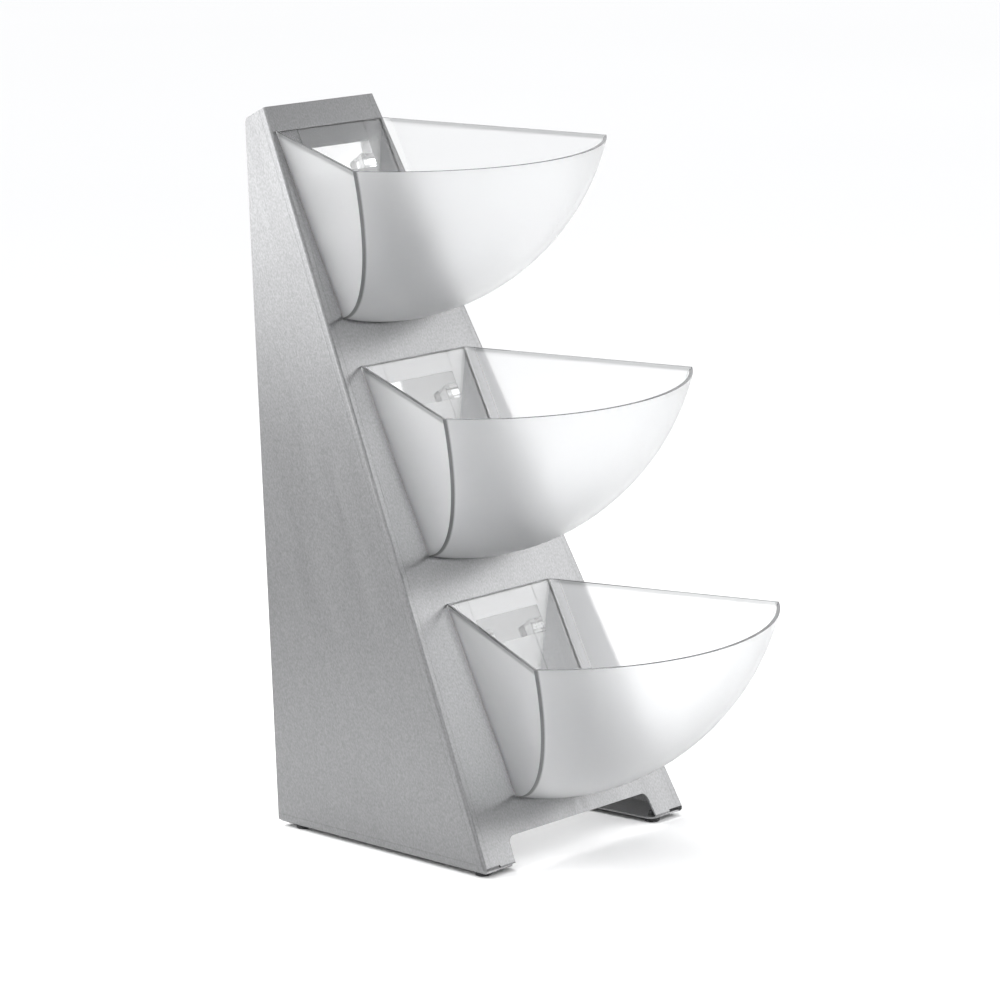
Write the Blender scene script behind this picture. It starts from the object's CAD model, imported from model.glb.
"""Looks for the three-tier countertop display stand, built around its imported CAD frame."""
import math

import bmesh
import bpy
from mathutils import Matrix, Vector


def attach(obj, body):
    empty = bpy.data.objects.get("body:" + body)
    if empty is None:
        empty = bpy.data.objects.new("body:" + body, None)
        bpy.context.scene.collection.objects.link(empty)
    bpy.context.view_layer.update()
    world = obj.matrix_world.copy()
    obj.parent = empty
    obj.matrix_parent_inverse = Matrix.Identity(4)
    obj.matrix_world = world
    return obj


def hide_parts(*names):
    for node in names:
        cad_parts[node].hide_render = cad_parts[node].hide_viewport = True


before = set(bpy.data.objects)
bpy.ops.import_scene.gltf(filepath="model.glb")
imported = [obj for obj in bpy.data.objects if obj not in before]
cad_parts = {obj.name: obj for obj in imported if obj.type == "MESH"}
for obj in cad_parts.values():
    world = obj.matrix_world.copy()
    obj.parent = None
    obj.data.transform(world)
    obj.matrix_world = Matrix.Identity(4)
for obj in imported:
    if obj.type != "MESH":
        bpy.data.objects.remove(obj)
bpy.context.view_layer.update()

# ------------------------------------------------------------------ the stand, metres
MM = 0.001
# the front face: lean from upright, place of its foot, half widths and length up the slope
LEAN = math.radians(26.35)
FRONT_Y = -72.99 * MM
FOOT_H = 3.0 * MM
BOTTOM_HALF = 102.4 * MM
TOP_HALF = 53.8 * MM
FACE_LENGTH = 535.6 * MM
SHEET = 1.2 * MM
# how far up the slope the windows' top edges are, and the windows' height
WINDOW_TOPS = (502.5 * MM, 333.0 * MM, 163.6 * MM)
WINDOW_HEIGHT = 19.1 * MM
SL, CL = math.sin(LEAN), math.cos(LEAN)
UP_FACE = Vector((0, SL, CL))
OUT_FACE = Vector((0, -CL, SL))
FACE_FOOT = Vector((0, FRONT_Y, FOOT_H))

# ------------------------------------------------------------------ the bowls, metres
# A bowl is drawn with its rim in the plane z = 0 and its back wall's top edge on the x axis.
# The back wall leans by BACK_LEAN, and lies on the front face once the bowl droops by DROOP.
DROOP = math.radians(3.6)
BACK_LEAN = LEAN + DROOP
SB, CB = math.sin(BACK_LEAN), math.cos(BACK_LEAN)
# gap to the front face, and the rim's place above its window, up the slope
GAP = 0.3 * MM
RIM_ABOVE = 15.4 * MM
# wall thickness, and the same across the flared sides as a share of it
WALL = 2.5 * MM
SIDE_INSET = 1.12
# the rim: half width at the back, the rounded corners there, and the front corners' place
BACK_HALF = 51.8 * MM
BACK_ROUND = 2.5 * MM
LEAST_ROUND = 1.0 * MM
CORNER_HALF = 125.4 * MM
CORNER_DEPTH = 140.5 * MM
# depths between which the side meets the front, and the halvings that find it
CORNER_SEARCH = (50.0 * MM, 200.0 * MM)
SEARCH_ROUNDS = 60
# the front is part of an ellipsoid: semi-axes and centre
SEMI = (168.0 * MM, 139.0 * MM, 155.4 * MM)
CENTRE_Y = -52.9 * MM
CENTRE_Z = 30.0 * MM
# the lugs: size, outer face's place, slant, play above the window's edge, and mould details
LUG_WIDTH = 12.0 * MM
LUG_HEIGHT = 10.0 * MM
LUG_REACH = 13.0 * MM
LUG_OUTER = 30.8 * MM
LUG_SLANT = math.radians(10.0)
LUG_PLAY = 0.15 * MM
LUG_EASE = 0.7 * MM
LUG_GROOVE = 0.4 * MM
LUG_GAP = 0.02 * MM

# mesh density: points along each outline, rows down a wall and ribs across the front, with
# powers that crowd them towards the moulded corner
SIDE_STEPS = 44
SIDE_CROWDING = 1.8
ARC_STEPS = 8
BACK_STEPS = 30
ROWS = 36
RIBS = 60
RIB_CROWDING = 1.5
# tolerances
SAME_COLUMN = 1e-6
SAME_POINT = 2e-6
NO_EDGE = 1e-7
NO_LENGTH = 1e-12
# width, segments and least angle in degrees
SHELL_BEVEL = (0.25 * MM, 3, 32)
LUG_BEVEL = (0.3 * MM, 2, 25)

# ------------------------------------------------------------------ face and vertex values
# POLISH says what a face is: 0 the satin front, SIDE_POLISH the satin side walls, BACK_POLISH
# the nearly clear back wall, 1 the polished inside, and more on the cut rims.
POLISH = "polish"
SIDE_POLISH = 0.1
BACK_POLISH = 0.96
FRONT_RIM = 2.0
SIDE_RIM = 1.7
BACK_RIM = 1.25
# SEAM darkens the outer skin along its moulded corners, under the rim and at faint mould marks.
SEAM = "seam"
# The marks are upright lines on the back wall, at MARKS from its middle.
SEAM_WIDTH = 2.0 * MM
RIM_TONE = 0.7
RIM_BAND = 0.7
MARKS = (LUG_OUTER + 1.5 * MM, LUG_OUTER - LUG_WIDTH)
MARK_FROM = (1.0 * MM, RIM_ABOVE + WINDOW_HEIGHT)
MARK_TO = (RIM_ABOVE, 140.0 * MM)
MARK_WIDTH = 0.6 * MM
MARK_TONE = 0.8

# ------------------------------------------------------------------ looks
# the values that a noise texture mostly stays between, and a whole range
NOISE_SPAN = (0.3, 0.7)
FULL = (0.0, 1.0)

# steel: patterns per metre along x, y and the slope, and their shares in tone and roughness
GRAIN = (1100, 1100, 40)
SPECKLE = (900, 900, 560)
WIDE = (90, 90, 6)
CLOUD = 9.0
STEEL_TONES = ((0.185, 0.186, 0.1885), (0.325, 0.3265, 0.33))
STEEL_ROUGH = (0.33, 0.45)
GRAIN_SHADE, WIDE_SHADE, SPECKLE_SHADE = 0.3, 0.2, 0.5
WIDE_ROUGH, CLOUD_ROUGH = 0.6, 0.4
STEEL_ANISOTROPY = 0.35
# press-brake lines: where the fold ends behind the front face, and the lines' places past it
FOLD = (1.2 * MM, 2.2 * MM)
LINE_ON_SIDE = 5.6 * MM
LINE_ON_FRONT = 5.8 * MM
LINE_WIDTH = 0.6 * MM
LINE_SHADE = 0.2
LINE_TONE = (0.3, 0.3, 0.3, 1)
GRAIN_BUMP, SPECKLE_BUMP, LINE_BUMP = 0.1, 0.22, 0.2
STEEL_BUMP = 0.3 * MM

# Plastic. The denoiser takes a roughness under 0.274 for see-through, and speckles a skin that
# crosses it, so the inside stays well below and the satin skins stay above. SATIN_ROUGH is what
# the satin adds to INSIDE_ROUGH.
PLASTIC_FINE = 900.0
PLASTIC_SLOW = 14.0
FINE_ROUGH, SLOW_ROUGH = 0.4, 0.6
PLASTIC_BUMP = (0.12, 0.1 * MM)
PLASTIC_IOR = 1.46
PLASTIC_SPECULAR = 0.25
INSIDE_ROUGH = (0.05, 0.09)
SATIN_ROUGH = (0.26, 0.31)
INSIDE_TINT = (0.996, 0.998, 0.999)
SATIN_TINT = (0.92, 0.924, 0.929)
EDGE_TINT = (0.1, 0.102, 0.104)
RIM_EDGE = 0.75
# a share of light scattered through the satin walls, and one scattered back by the flat sides
MILK = (0.09, 0.13)
MILK_TONES = ((0.91, 0.915, 0.92), (0.95, 0.955, 0.96))
HAZE = 0.05
HAZE_TONES = ((0.83, 0.835, 0.84), (0.89, 0.895, 0.9))
SIDE_PICK = 8.0
SIDE_BELOW = 0.9

LUG_MOTTLE = 160.0
LUG_BUMP = (0.06, 0.2 * MM)
LUG_IOR = 1.49
LUG_ROUGH = (0.02, 0.05)
LUG_TONES = ((0.93, 0.935, 0.94), (0.98, 0.98, 0.985))
LUG_EDGE_TONES = ((0.1, 0.102, 0.104), (0.2, 0.202, 0.204))

RUBBER_FINE = 1400.0
RUBBER_SLOW = 180.0
RUBBER_BUMP = (0.3, 0.2 * MM)
RUBBER_TONES = ((0.012, 0.012, 0.013), (0.03, 0.03, 0.032))
RUBBER_ROUGH = (0.55, 0.8)

FLOOR_MOTTLE = 0.6
FLOOR_ROUGH = 0.75
FLOOR_SPECULAR = 0.25
FLOOR_TONES = ((0.90, 0.90, 0.90), (0.93, 0.93, 0.93))
FLOOR_HALF = 30.0

# ------------------------------------------------------------------ light and camera
SKY_STRENGTH = 2.18
SKY_SPREAD = math.radians(100)
# name, place, target, width, height, watts
SOFTBOXES = (
    ("left_rear", (-0.62, 0.5, 0.68), (0, 0, 0.42), 0.8, 0.8, 7.2),
    ("right_front", (0.85, -0.72, 0.6), (0, -0.03, 0.25), 0.9, 0.86, 7.0),
    ("front_left", (-1.0, -0.9, 0.8), (0, 0, 0.25), 0.9, 1.1, 4),
    ("back_fill", (0.1, 0.85, 1.0), (0, 0.03, 0), 1.1, 0.9, 5.5),
    ("inner_fill", (0, 0.09, 0.2), (0.03, 0.03, 0), 0.1, 0.08, 0.19),
)
WORLD_COLOUR = (0.97, 0.98, 1.0, 1)
WORLD_STRENGTH = 0.42
SENSOR_WIDTH = 36
LENS = 157.355
CLIP_END = 60
CAMERA_PLACE = (-2.14398, -1.88826, 0.81302)
CAMERA_RIGHT = Vector((0.66051, -0.750782, -0.007285))
CAMERA_UP = Vector((0.155645, 0.127426, 0.97956))


# ------------------------------------------------------------------ node helpers
class Nodes:
    """A short way to write a material's nodes."""

    def __init__(self, name):
        self.mat = bpy.data.materials.new(name)
        self.mat.use_nodes = True
        self.tree = self.mat.node_tree
        self.tree.nodes.clear()
        self.out = self.add("ShaderNodeOutputMaterial")

    def add(self, kind, **props):
        node = self.tree.nodes.new(kind)
        for key, value in props.items():
            setattr(node, key, value)
        return node

    def link(self, a, b):
        self.tree.links.new(a, b)

    def finish(self, surface):
        self.link(surface, self.out.inputs["Surface"])
        return self.mat

    def math(self, op, a, b=0.5, clamp=False):
        node = self.add("ShaderNodeMath", operation=op, use_clamp=clamp)
        for socket, value in zip(node.inputs, (a, b)):
            if isinstance(value, (int, float)):
                socket.default_value = value
            else:
                self.link(value, socket)
        return node.outputs[0]

    def weighed(self, *terms):
        """Sum of (value, weight) pairs."""
        total = None
        for value, weight in terms:
            part = self.math("MULTIPLY", value, weight)
            total = part if total is None else self.math("ADD", total, part)
        return total

    def without(self, value):
        """1 minus a value, from 0 to 1."""
        return self.math("SUBTRACT", 1.0, value, clamp=True)

    def attribute(self, name):
        return self.add("ShaderNodeAttribute", attribute_name=name).outputs["Fac"]

    def coords(self, rotate=(0, 0, 0), scale=(1, 1, 1)):
        where = self.add("ShaderNodeTexCoord")
        mapping = self.add("ShaderNodeMapping", vector_type="TEXTURE")
        mapping.inputs["Rotation"].default_value = rotate
        scaled = self.add("ShaderNodeMapping")
        scaled.inputs["Scale"].default_value = scale
        self.link(where.outputs["Object"], mapping.inputs["Vector"])
        self.link(mapping.outputs[0], scaled.inputs["Vector"])
        return scaled.outputs[0]

    def noise(self, vector, scale, detail=3.0, rough=0.5):
        node = self.add("ShaderNodeTexNoise")
        node.inputs["Scale"].default_value = scale
        node.inputs["Detail"].default_value = detail
        node.inputs["Roughness"].default_value = rough
        self.link(vector, node.inputs["Vector"])
        return node.outputs["Fac"]

    def ramp(self, value, source, result):
        """Map one range of values to another, and hold its ends."""
        node = self.add("ShaderNodeMapRange")
        node.inputs["From Min"].default_value = source[0]
        node.inputs["From Max"].default_value = source[1]
        node.inputs["To Min"].default_value = result[0]
        node.inputs["To Max"].default_value = result[1]
        self.link(value, node.inputs["Value"])
        return node.outputs[0]

    def tones(self, value, low, high):
        """Colour between two colours, by a value from 0 to 1."""
        node = self.add("ShaderNodeValToRGB")
        for stop, colour in zip(node.color_ramp.elements, (low, high)):
            stop.color = (*colour, 1)
        self.link(value, node.inputs["Fac"])
        return node.outputs["Color"]

    def multiply(self, fac, one, two):
        """Multiply two colours, the factor and the second as a socket or a constant."""
        node = self.add("ShaderNodeMixRGB", blend_type="MULTIPLY")
        self.link(one, node.inputs["Color1"])
        for key, value in (("Fac", fac), ("Color2", two)):
            if isinstance(value, (int, float, tuple)):
                node.inputs[key].default_value = value
            else:
                self.link(value, node.inputs[key])
        return node.outputs[0]

    def mix(self, fac, one, two):
        node = self.add("ShaderNodeMixShader")
        self.link(fac, node.inputs["Fac"])
        self.link(one, node.inputs[1])
        self.link(two, node.inputs[2])
        return node.outputs[0]

    def bump(self, height, strength, distance, normal=None):
        node = self.add("ShaderNodeBump")
        node.inputs["Strength"].default_value = strength
        node.inputs["Distance"].default_value = distance
        self.link(height, node.inputs["Height"])
        if normal is not None:
            self.link(normal, node.inputs["Normal"])
        return node.outputs["Normal"]

    def principled(self, **values):
        node = self.add("ShaderNodeBsdfPrincipled")
        for key, value in values.items():
            node.inputs[key].default_value = value
        return node


# ------------------------------------------------------------------ materials
def brushed_steel():
    """Fine-brushed stainless sheet: grain up the slope, faint press-brake lines by the folds."""
    m = Nodes("brushed_sheet")
    slope = (-LEAN, 0, 0)
    grain = m.noise(m.coords(slope, GRAIN), 1.0, rough=0.6)
    speckle = m.noise(m.coords(slope, SPECKLE), 1.0, detail=2)
    wide = m.noise(m.coords(slope, WIDE), 1.0, rough=0.55)
    cloud = m.noise(m.coords(), CLOUD, detail=2)

    # distances, in metres, from the front face's plane and from its slanted edges
    where = m.add("ShaderNodeTexCoord").outputs["Object"]
    split = m.add("ShaderNodeSeparateXYZ")
    m.link(where, split.inputs[0])
    x, y, z = split.outputs
    dy = m.math("SUBTRACT", y, FRONT_Y)
    dz = m.math("SUBTRACT", z, FOOT_H)
    behind = m.math("SUBTRACT", m.math("MULTIPLY", dy, CL), m.math("MULTIPLY", dz, SL))
    up = m.weighed((dy, SL), (dz, CL))
    taper = (BOTTOM_HALF - TOP_HALF) / FACE_LENGTH
    half = m.math("SUBTRACT", BOTTOM_HALF, m.math("MULTIPLY", up, taper))
    from_side = m.math("SUBTRACT", half, m.math("ABSOLUTE", x))

    def line(distance, place):
        off = m.math("ABSOLUTE", m.math("SUBTRACT", distance, place))
        return m.ramp(off, (0.0, LINE_WIDTH), (1.0, 0.0))

    on_side = m.ramp(behind, FOLD, FULL)
    on_front = m.ramp(behind, FOLD, (1.0, 0.0))
    lines = m.math("MULTIPLY", line(behind, LINE_ON_SIDE), on_side)
    for distance, place, where_on in (
        (dz, LINE_ON_SIDE, on_side),
        (from_side, LINE_ON_FRONT, on_front),
    ):
        lines = m.math("MAXIMUM", lines, m.math("MULTIPLY", line(distance, place), where_on))

    specks = m.ramp(speckle, NOISE_SPAN, FULL)
    shade = m.weighed((grain, GRAIN_SHADE), (wide, WIDE_SHADE), (specks, SPECKLE_SHADE))
    colour = m.tones(shade, *STEEL_TONES)
    colour = m.multiply(m.math("MULTIPLY", lines, LINE_SHADE), colour, LINE_TONE)
    uneven = m.weighed((wide, WIDE_ROUGH), (cloud, CLOUD_ROUGH))
    rough = m.ramp(uneven, NOISE_SPAN, STEEL_ROUGH)
    shader = m.principled(Metallic=1.0, Anisotropic=STEEL_ANISOTROPY)
    m.link(colour, shader.inputs["Base Color"])
    m.link(rough, shader.inputs["Roughness"])
    normal = m.bump(grain, GRAIN_BUMP, STEEL_BUMP)
    normal = m.bump(speckle, SPECKLE_BUMP, STEEL_BUMP, normal)
    normal = m.bump(m.math("MULTIPLY", lines, -1.0), LINE_BUMP, STEEL_BUMP, normal)
    m.link(normal, shader.inputs["Normal"])
    return m.finish(shader.outputs[0])


def moulded_plastic():
    """Clear plastic, satin and a little milky outside, polished inside, dark at its edges."""
    m = Nodes("moulded_plastic")
    fine = m.noise(m.coords(), PLASTIC_FINE, detail=2)
    slow = m.noise(m.coords(), PLASTIC_SLOW)
    blend = m.weighed((fine, FINE_ROUGH), (slow, SLOW_ROUGH))
    polish = m.attribute(POLISH)
    satin = m.without(polish)
    rim = m.math("SUBTRACT", polish, 1.0, clamp=True)
    edge = m.math("MAXIMUM", m.attribute(SEAM), m.math("MULTIPLY", rim, RIM_EDGE))
    open_wall = m.without(edge)

    clear = m.principled(
        **{
            "IOR": PLASTIC_IOR,
            "Transmission Weight": 1.0,
            "Specular IOR Level": PLASTIC_SPECULAR,
        }
    )
    tint = m.tones(satin, INSIDE_TINT, SATIN_TINT)
    tint = m.multiply(1.0, tint, m.tones(edge, (1.0, 1.0, 1.0), EDGE_TINT))
    inside = m.ramp(blend, NOISE_SPAN, INSIDE_ROUGH)
    extra = m.math("MULTIPLY", satin, m.ramp(blend, NOISE_SPAN, SATIN_ROUGH))
    m.link(tint, clear.inputs["Base Color"])
    m.link(m.math("ADD", inside, extra), clear.inputs["Roughness"])
    m.link(m.bump(m.math("MULTIPLY", fine, satin), *PLASTIC_BUMP), clear.inputs["Normal"])

    milky = m.add("ShaderNodeBsdfTranslucent")
    m.link(m.tones(slow, *MILK_TONES), milky.inputs["Color"])
    milk = m.math("MULTIPLY", satin, open_wall)
    milk = m.math("MULTIPLY", milk, m.ramp(slow, NOISE_SPAN, MILK))
    body = m.mix(milk, clear.outputs[0], milky.outputs[0])

    # The flat sides, which are the faces between 0 and SIDE_BELOW, are a little whiter than the
    # rest, as if their mould face was rougher.
    side = m.math("MULTIPLY", polish, SIDE_PICK, clamp=True)
    below = m.math("SUBTRACT", SIDE_BELOW, polish)
    side = m.math("MULTIPLY", side, m.math("MULTIPLY", below, SIDE_PICK, clamp=True))
    white = m.add("ShaderNodeBsdfDiffuse")
    m.link(m.tones(slow, *HAZE_TONES), white.inputs["Color"])
    haze = m.math("MULTIPLY", m.math("MULTIPLY", side, open_wall), HAZE)
    return m.finish(m.mix(haze, body, white.outputs[0]))


def clear_plastic(name, low, high):
    """Glossy clear plastic of the lugs, barely uneven from the mould."""
    m = Nodes(name)
    slow = m.noise(m.coords(), LUG_MOTTLE, detail=2)
    shader = m.principled(**{"IOR": LUG_IOR, "Transmission Weight": 1.0})
    m.link(m.tones(slow, low, high), shader.inputs["Base Color"])
    m.link(m.ramp(slow, NOISE_SPAN, LUG_ROUGH), shader.inputs["Roughness"])
    m.link(m.bump(slow, *LUG_BUMP), shader.inputs["Normal"])
    return m.finish(shader.outputs[0])


def black_rubber():
    """Matt black rubber with a faint mottle and dusty lighter patches."""
    m = Nodes("foot_rubber")
    fine = m.noise(m.coords(), RUBBER_FINE)
    slow = m.noise(m.coords(), RUBBER_SLOW)
    shader = m.principled()
    m.link(m.tones(slow, *RUBBER_TONES), shader.inputs["Base Color"])
    m.link(m.ramp(fine, NOISE_SPAN, RUBBER_ROUGH), shader.inputs["Roughness"])
    m.link(m.bump(fine, *RUBBER_BUMP), shader.inputs["Normal"])
    return m.finish(shader.outputs[0])


def pale_paint():
    """Matt pale floor, with a slow change of tone."""
    m = Nodes("pale_floor")
    slow = m.noise(m.coords(), FLOOR_MOTTLE, detail=2)
    shader = m.principled(**{"Roughness": FLOOR_ROUGH, "Specular IOR Level": FLOOR_SPECULAR})
    m.link(m.tones(slow, *FLOOR_TONES), shader.inputs["Base Color"])
    return m.finish(shader.outputs[0])


STEEL = brushed_steel()
PLASTIC = moulded_plastic()
CLEAR = clear_plastic("clear_lug", *LUG_TONES)
CLEAR_EDGE = clear_plastic("clear_lug_edge", *LUG_EDGE_TONES)
RUBBER = black_rubber()


# ------------------------------------------------------------------ mesh helpers
def linked(name, data):
    """A new object in the scene."""
    obj = bpy.data.objects.new(name, data)
    bpy.context.scene.collection.objects.link(obj)
    return obj


def mesh_object(name, bm, place, materials):
    """A smooth-shaded object from a bmesh, put in its place, with its materials."""
    mesh = bpy.data.meshes.new(name)
    bm.to_mesh(mesh)
    bm.free()
    mesh.transform(place)
    for poly in mesh.polygons:
        poly.use_smooth = True
    for material in materials:
        mesh.materials.append(material)
    return linked(name, mesh)


def round_edges(obj, width, segments, angle):
    """Bevel the edges sharper than an angle, in degrees."""
    bevel = obj.modifiers.new("edges", "BEVEL")
    bevel.width = width
    bevel.segments = segments
    bevel.limit_method = "ANGLE"
    bevel.angle_limit = math.radians(angle)
    bevel.harden_normals = True
    return bevel


# ------------------------------------------------------------------ bowls
def depth(x, y, semi):
    """How far down the back's lean the rounded front lies below a point of the rim plane."""
    ax, ay, az = semi
    fy = y - CENTRE_Y
    a = (SB / ay) ** 2 + (CB / az) ** 2
    h = -fy * SB / ay ** 2 + CENTRE_Z * CB / az ** 2
    c = (fy / ay) ** 2 + (CENTRE_Z / az) ** 2 + (x / ax) ** 2 - 1
    root = h * h - a * c
    return max(0.0, (-h + math.sqrt(max(root, 0.0))) / a)


def back_columns(reach):
    """Places across the back wall: even ones, and three at each moulded mark."""
    half = BACK_STEPS // 2
    places = [reach * (1 - t / half) for t in range(1, BACK_STEPS)]
    for side in (-1, 1):
        for mark in MARKS:
            places += [side * (mark + shift) for shift in (-MARK_WIDTH, 0, MARK_WIDTH)]
    return sorted(places)


def section(inset):
    """Rim outline of one skin: the three straight walls, and the front arc facing each point."""
    semi = tuple(s - inset for s in SEMI)
    back = inset / CB
    flare = (CORNER_HALF - BACK_HALF) / CORNER_DEPTH
    ring = math.sqrt(1 - (CENTRE_Z / semi[2]) ** 2)
    half = BACK_HALF - inset * SIDE_INSET

    # front corner: the flat side meets the front arc
    low, high = CORNER_SEARCH
    for _ in range(SEARCH_ROUNDS):
        mid = (low + high) / 2
        x = half + flare * mid
        outside = (x / semi[0]) ** 2 + ((-mid - CENTRE_Y) / semi[1]) ** 2 > ring ** 2
        low, high = (low, mid) if outside else (mid, high)
    corner = Vector((-(half + flare * low), -low))
    heel = Vector((-(half + flare * back), -back))

    # straight side, rounded corner, straight back, and the same mirrored
    along = (corner - heel).normalized()
    across = Vector((1, 0))
    turn = math.acos(max(-1, min(1, along.dot(across))))
    radius = max(BACK_ROUND - inset, LEAST_ROUND)
    trim = radius / math.tan(turn / 2)
    a, b = heel + along * trim, heel + across * trim
    side_run = [corner.lerp(a, (t / SIDE_STEPS) ** SIDE_CROWDING) for t in range(SIDE_STEPS)]
    middle = heel + (along + across).normalized() * (radius / math.sin(turn / 2))
    start, end = a - middle, b - middle
    arc = []
    for t in range(ARC_STEPS + 1):
        arc.append(middle + start.lerp(end, t / ARC_STEPS).normalized() * radius)
    left = side_run + arc
    back_run = [Vector((x, b.y)) for x in back_columns(b.x)]
    right = [Vector((-p.x, p.y)) for p in reversed(left)]
    walls = left + back_run + right
    back_part = range(len(side_run), len(walls) - len(side_run))

    # matching points along the front arc
    lengths = [0.0]
    for p, q in zip(walls, walls[1:]):
        lengths.append(lengths[-1] + (q - p).length)
    wide, deep = semi[0] * ring, semi[1] * ring
    swing = math.atan2(corner.x / wide, -(corner.y - CENTRE_Y) / deep)
    front = []
    for run in lengths:
        angle = swing * (1 - 2 * run / lengths[-1])
        front.append(Vector((wide * math.sin(angle), CENTRE_Y - deep * math.cos(angle))))
    return walls, front, semi, back_part


def outline_distance(point, outline):
    """Distance from a point of the rim plane to the outline of the three straight walls."""
    best = 1.0
    for p, q in zip(outline, outline[1:]):
        run = q - p
        along = (point - p).dot(run) / max(run.length_squared, NO_LENGTH)
        along = max(0.0, min(1.0, along))
        best = min(best, (point - p - run * along).length)
    return best


def seam_weight(distance):
    """How dark the outer skin is at a distance from a moulded corner or the rim."""
    return max(0.0, min(1.0, 1 - (distance - SEAM_WIDTH) / (SEAM_WIDTH / 2)))


def weigh_walls(grid, walls, drops, back_part, seam):
    """Darken the outer walls under the rim, along their lower edge and at the moulded marks."""
    for k, (column, heights) in enumerate(zip(grid, drops)):
        if k not in back_part:
            for vert, height in zip(column, heights):
                vert[seam] = RIM_TONE * seam_weight(height * RIM_BAND)
        column[-1][seam] = 1.0
        for mark, low, high in zip(MARKS, MARK_FROM, MARK_TO):
            if k in back_part and abs(abs(walls[k].x) - mark) < SAME_COLUMN:
                for vert, height in zip(column, heights):
                    if low < height < high:
                        vert[seam] = MARK_TONE


def strip(bm, one, two):
    """Faces between two rows of points."""
    return [
        bm.faces.new((one[k], one[k + 1], two[k + 1], two[k])) for k in range(len(one) - 1)
    ]


def bowl_skin(bm, inset, polish, seam):
    """One skin of a bowl. Returns the rims of its walls and its front, and the back's columns."""
    walls, front, semi, back_part = section(inset)
    outer = inset == 0

    def at(p, t):
        return bm.verts.new((p.x, p.y - t * SB, -t * CB))

    falls = [(1 - math.cos(math.pi * j / ROWS)) / 2 for j in range(ROWS + 1)]
    deep = [depth(p.x, p.y, semi) for p in walls]
    drops = [[d * fall for fall in falls] for d in deep]
    wall_grid = [[at(p, drop) for drop in column] for p, column in zip(walls, drops)]
    if outer:
        weigh_walls(wall_grid, walls, drops, back_part, seam)

    front_grid = []
    for k, (p, q) in enumerate(zip(walls, front)):
        column = [wall_grid[k][-1]]
        for j in range(1, RIBS + 1):
            point = p.lerp(q, (j / RIBS) ** RIB_CROWDING)
            column.append(at(point, depth(point.x, point.y, semi) if j < RIBS else 0.0))
            if outer:
                column[-1][seam] = seam_weight(outline_distance(point, walls))
        front_grid.append(column)

    for grid in (wall_grid, front_grid):
        for k, (one, two) in enumerate(zip(grid, grid[1:])):
            kind = 0.0 if outer else 1.0
            if outer and grid is wall_grid:
                kind = BACK_POLISH if k in back_part else SIDE_POLISH
            for face in strip(bm, one, two):
                face[polish] = kind
    return [c[0] for c in wall_grid], [c[-1] for c in front_grid], back_part


def bowl_mesh(name, place):
    """One bowl: outer and inner skin, the cut rim between them, edges slightly rounded."""
    bm = bmesh.new()
    polish = bm.faces.layers.float.new(POLISH)
    seam = bm.verts.layers.float.new(SEAM)
    outer_walls, outer_front, back_part = bowl_skin(bm, 0.0, polish, seam)
    inner_walls, inner_front, _ = bowl_skin(bm, WALL, polish, seam)
    for k, face in enumerate(strip(bm, outer_walls, inner_walls)):
        face[polish] = BACK_RIM if k in back_part else SIDE_RIM
    for face in strip(bm, outer_front, inner_front):
        face[polish] = FRONT_RIM
    bmesh.ops.remove_doubles(bm, verts=bm.verts, dist=SAME_POINT)
    bmesh.ops.dissolve_degenerate(bm, edges=bm.edges, dist=NO_EDGE)
    bmesh.ops.recalc_face_normals(bm, faces=bm.faces)
    obj = mesh_object(name, bm, place, [PLASTIC])
    round_edges(obj, *SHELL_BEVEL)
    return obj


def lug_mesh(name, place):
    """Both slanted lugs of one bowl, with a shallow moulded groove across their ends."""
    slope = math.tan(LUG_SLANT)
    bottom = -(RIM_ABOVE + WINDOW_HEIGHT) + LUG_PLAY + slope * (GAP + SHEET)
    far = bottom - slope * LUG_REACH
    waist = far + LUG_HEIGHT / 2
    out = Vector((0, -CB, SB))
    up = Vector((0, SB, CB))
    # one side of a lug: distance out from the back wall's outer face, and height above the rim
    profile = [
        (-LUG_GAP, bottom),
        (-LUG_REACH + LUG_EASE, far + slope * LUG_EASE),
        (-LUG_REACH, far + LUG_EASE),
        (-LUG_REACH, waist - LUG_GROOVE),
        (-LUG_REACH + LUG_GROOVE, waist),
        (-LUG_REACH, waist + LUG_GROOVE),
        (-LUG_REACH, far + LUG_HEIGHT - LUG_EASE),
        (-LUG_REACH + LUG_EASE, far + slope * LUG_EASE + LUG_HEIGHT),
        (-LUG_GAP, bottom + LUG_HEIGHT),
    ]
    count = len(profile)
    bm = bmesh.new()
    for side in (-1, 1):
        middle = side * (LUG_OUTER - LUG_WIDTH / 2)
        rings = []
        for x in (middle - LUG_WIDTH / 2, middle + LUG_WIDTH / 2):
            ring = [bm.verts.new(Vector((x, 0, 0)) + out * n + up * v) for n, v in profile]
            rings.append(ring)
        bm.faces.new(rings[0])
        bm.faces.new(list(reversed(rings[1])))
        for k in range(count):
            j = (k + 1) % count
            bm.faces.new((rings[0][k], rings[1][k], rings[1][j], rings[0][j]))
    bmesh.ops.recalc_face_normals(bm, faces=bm.faces)
    obj = mesh_object(name, bm, place, [CLEAR, CLEAR_EDGE])
    round_edges(obj, *LUG_BEVEL).material = 1
    return obj


for tier, body in enumerate(("bowl_top", "bowl_middle", "bowl_bottom")):
    origin = FACE_FOOT + UP_FACE * (WINDOW_TOPS[tier] + RIM_ABOVE) + OUT_FACE * GAP
    place = Matrix.Translation(origin) @ Matrix.Rotation(DROOP, 4, "X")
    shell = bowl_mesh(body + "_shell", place)
    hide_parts(body)
    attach(shell, body)
    lugs = lug_mesh(body + "_lugs", place)
    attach(lugs, body)


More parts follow.
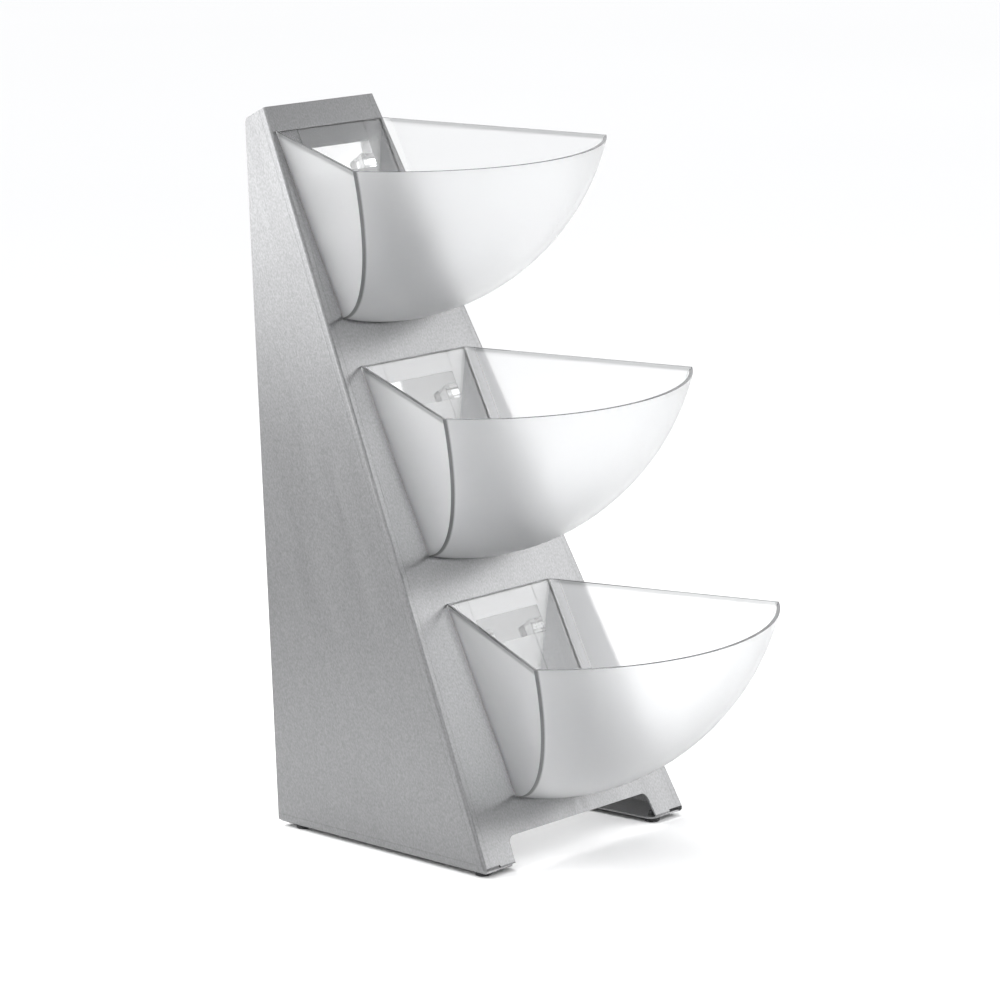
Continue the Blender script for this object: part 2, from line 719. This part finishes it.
# ------------------------------------------------------------------ CAD nodes that stay
def finish_cad(node, material):
    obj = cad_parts[node]
    obj.data.materials.clear()
    obj.data.materials.append(material)


finish_cad("frame_shell", STEEL)
for foot in ("front_left", "front_right", "back_left", "back_right"):
    finish_cad("foot_" + foot, RUBBER)


# ------------------------------------------------------------------ floor
def floor():
    mesh = bpy.data.meshes.new("pale_floor")
    corners = [(x * FLOOR_HALF, y * FLOOR_HALF, 0) for x, y in ((-1, -1), (1, -1), (1, 1), (-1, 1))]
    mesh.from_pydata(corners, [], [(0, 1, 2, 3)])
    mesh.materials.append(pale_paint())
    obj = linked("pale_floor", mesh)


floor()


# ------------------------------------------------------------------ light
def softbox(name, place, target, size_x, size_y, watts):
    data = bpy.data.lights.new(name, "AREA")
    data.shape = "RECTANGLE"
    data.size, data.size_y = size_x, size_y
    data.energy = watts
    obj = linked(name, data)
    obj.location = place
    obj.rotation_mode = "QUATERNION"
    obj.rotation_quaternion = (Vector(target) - Vector(place)).to_track_quat("-Z", "Y")


def open_sky():
    data = bpy.data.lights.new("open_sky", "SUN")
    data.energy = SKY_STRENGTH
    data.angle = SKY_SPREAD
    linked("open_sky", data)


open_sky()
for box in SOFTBOXES:
    softbox(*box)

world = bpy.data.worlds.new("studio")
world.use_nodes = True
world.node_tree.nodes["Background"].inputs["Color"].default_value = WORLD_COLOUR
world.node_tree.nodes["Background"].inputs["Strength"].default_value = WORLD_STRENGTH
bpy.context.scene.world = world
bpy.context.scene.view_settings.view_transform = "Standard"
bpy.context.scene.view_settings.look = "None"

# ------------------------------------------------------------------ camera
camera_data = bpy.data.cameras.new("camera")
camera_data.sensor_width = SENSOR_WIDTH
camera_data.lens = LENS
camera_data.clip_end = CLIP_END
axes = (CAMERA_RIGHT, CAMERA_UP, CAMERA_RIGHT.cross(CAMERA_UP))
camera = linked("camera", camera_data)
camera.matrix_world = Matrix.Translation(CAMERA_PLACE) @ Matrix(axes).transposed().to_4x4()
bpy.context.scene.camera = camera
